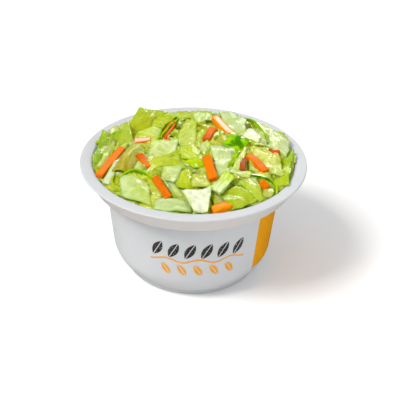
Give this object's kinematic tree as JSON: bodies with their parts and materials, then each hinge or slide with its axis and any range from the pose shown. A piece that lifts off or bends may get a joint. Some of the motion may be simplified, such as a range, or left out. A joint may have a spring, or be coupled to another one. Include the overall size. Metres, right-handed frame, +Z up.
{
  "type": "tub of chopped cabbage slaw",
  "caption": "Round plastic tub with a wide flat rim and slanted collar, heaped with cabbage chips, carrot sticks and green pepper pieces.",
  "frame": {"origin": "centre of the tub's foot ring, at the level it stands on", "axes": "+Z up along the tub's axis, -Y towards the front of the tub, +X to the right seen from the front"},
  "size_m": [0.118, 0.118, 0.0727],
  "materials": {
    "tub_plastic": "smooth satin white",
    "slaw": "moist cut vegetables"
  },
  "bodies": {
    "root": {"tub": "tub_plastic", "slaw": "slaw"}
  },
  "joints": []
}
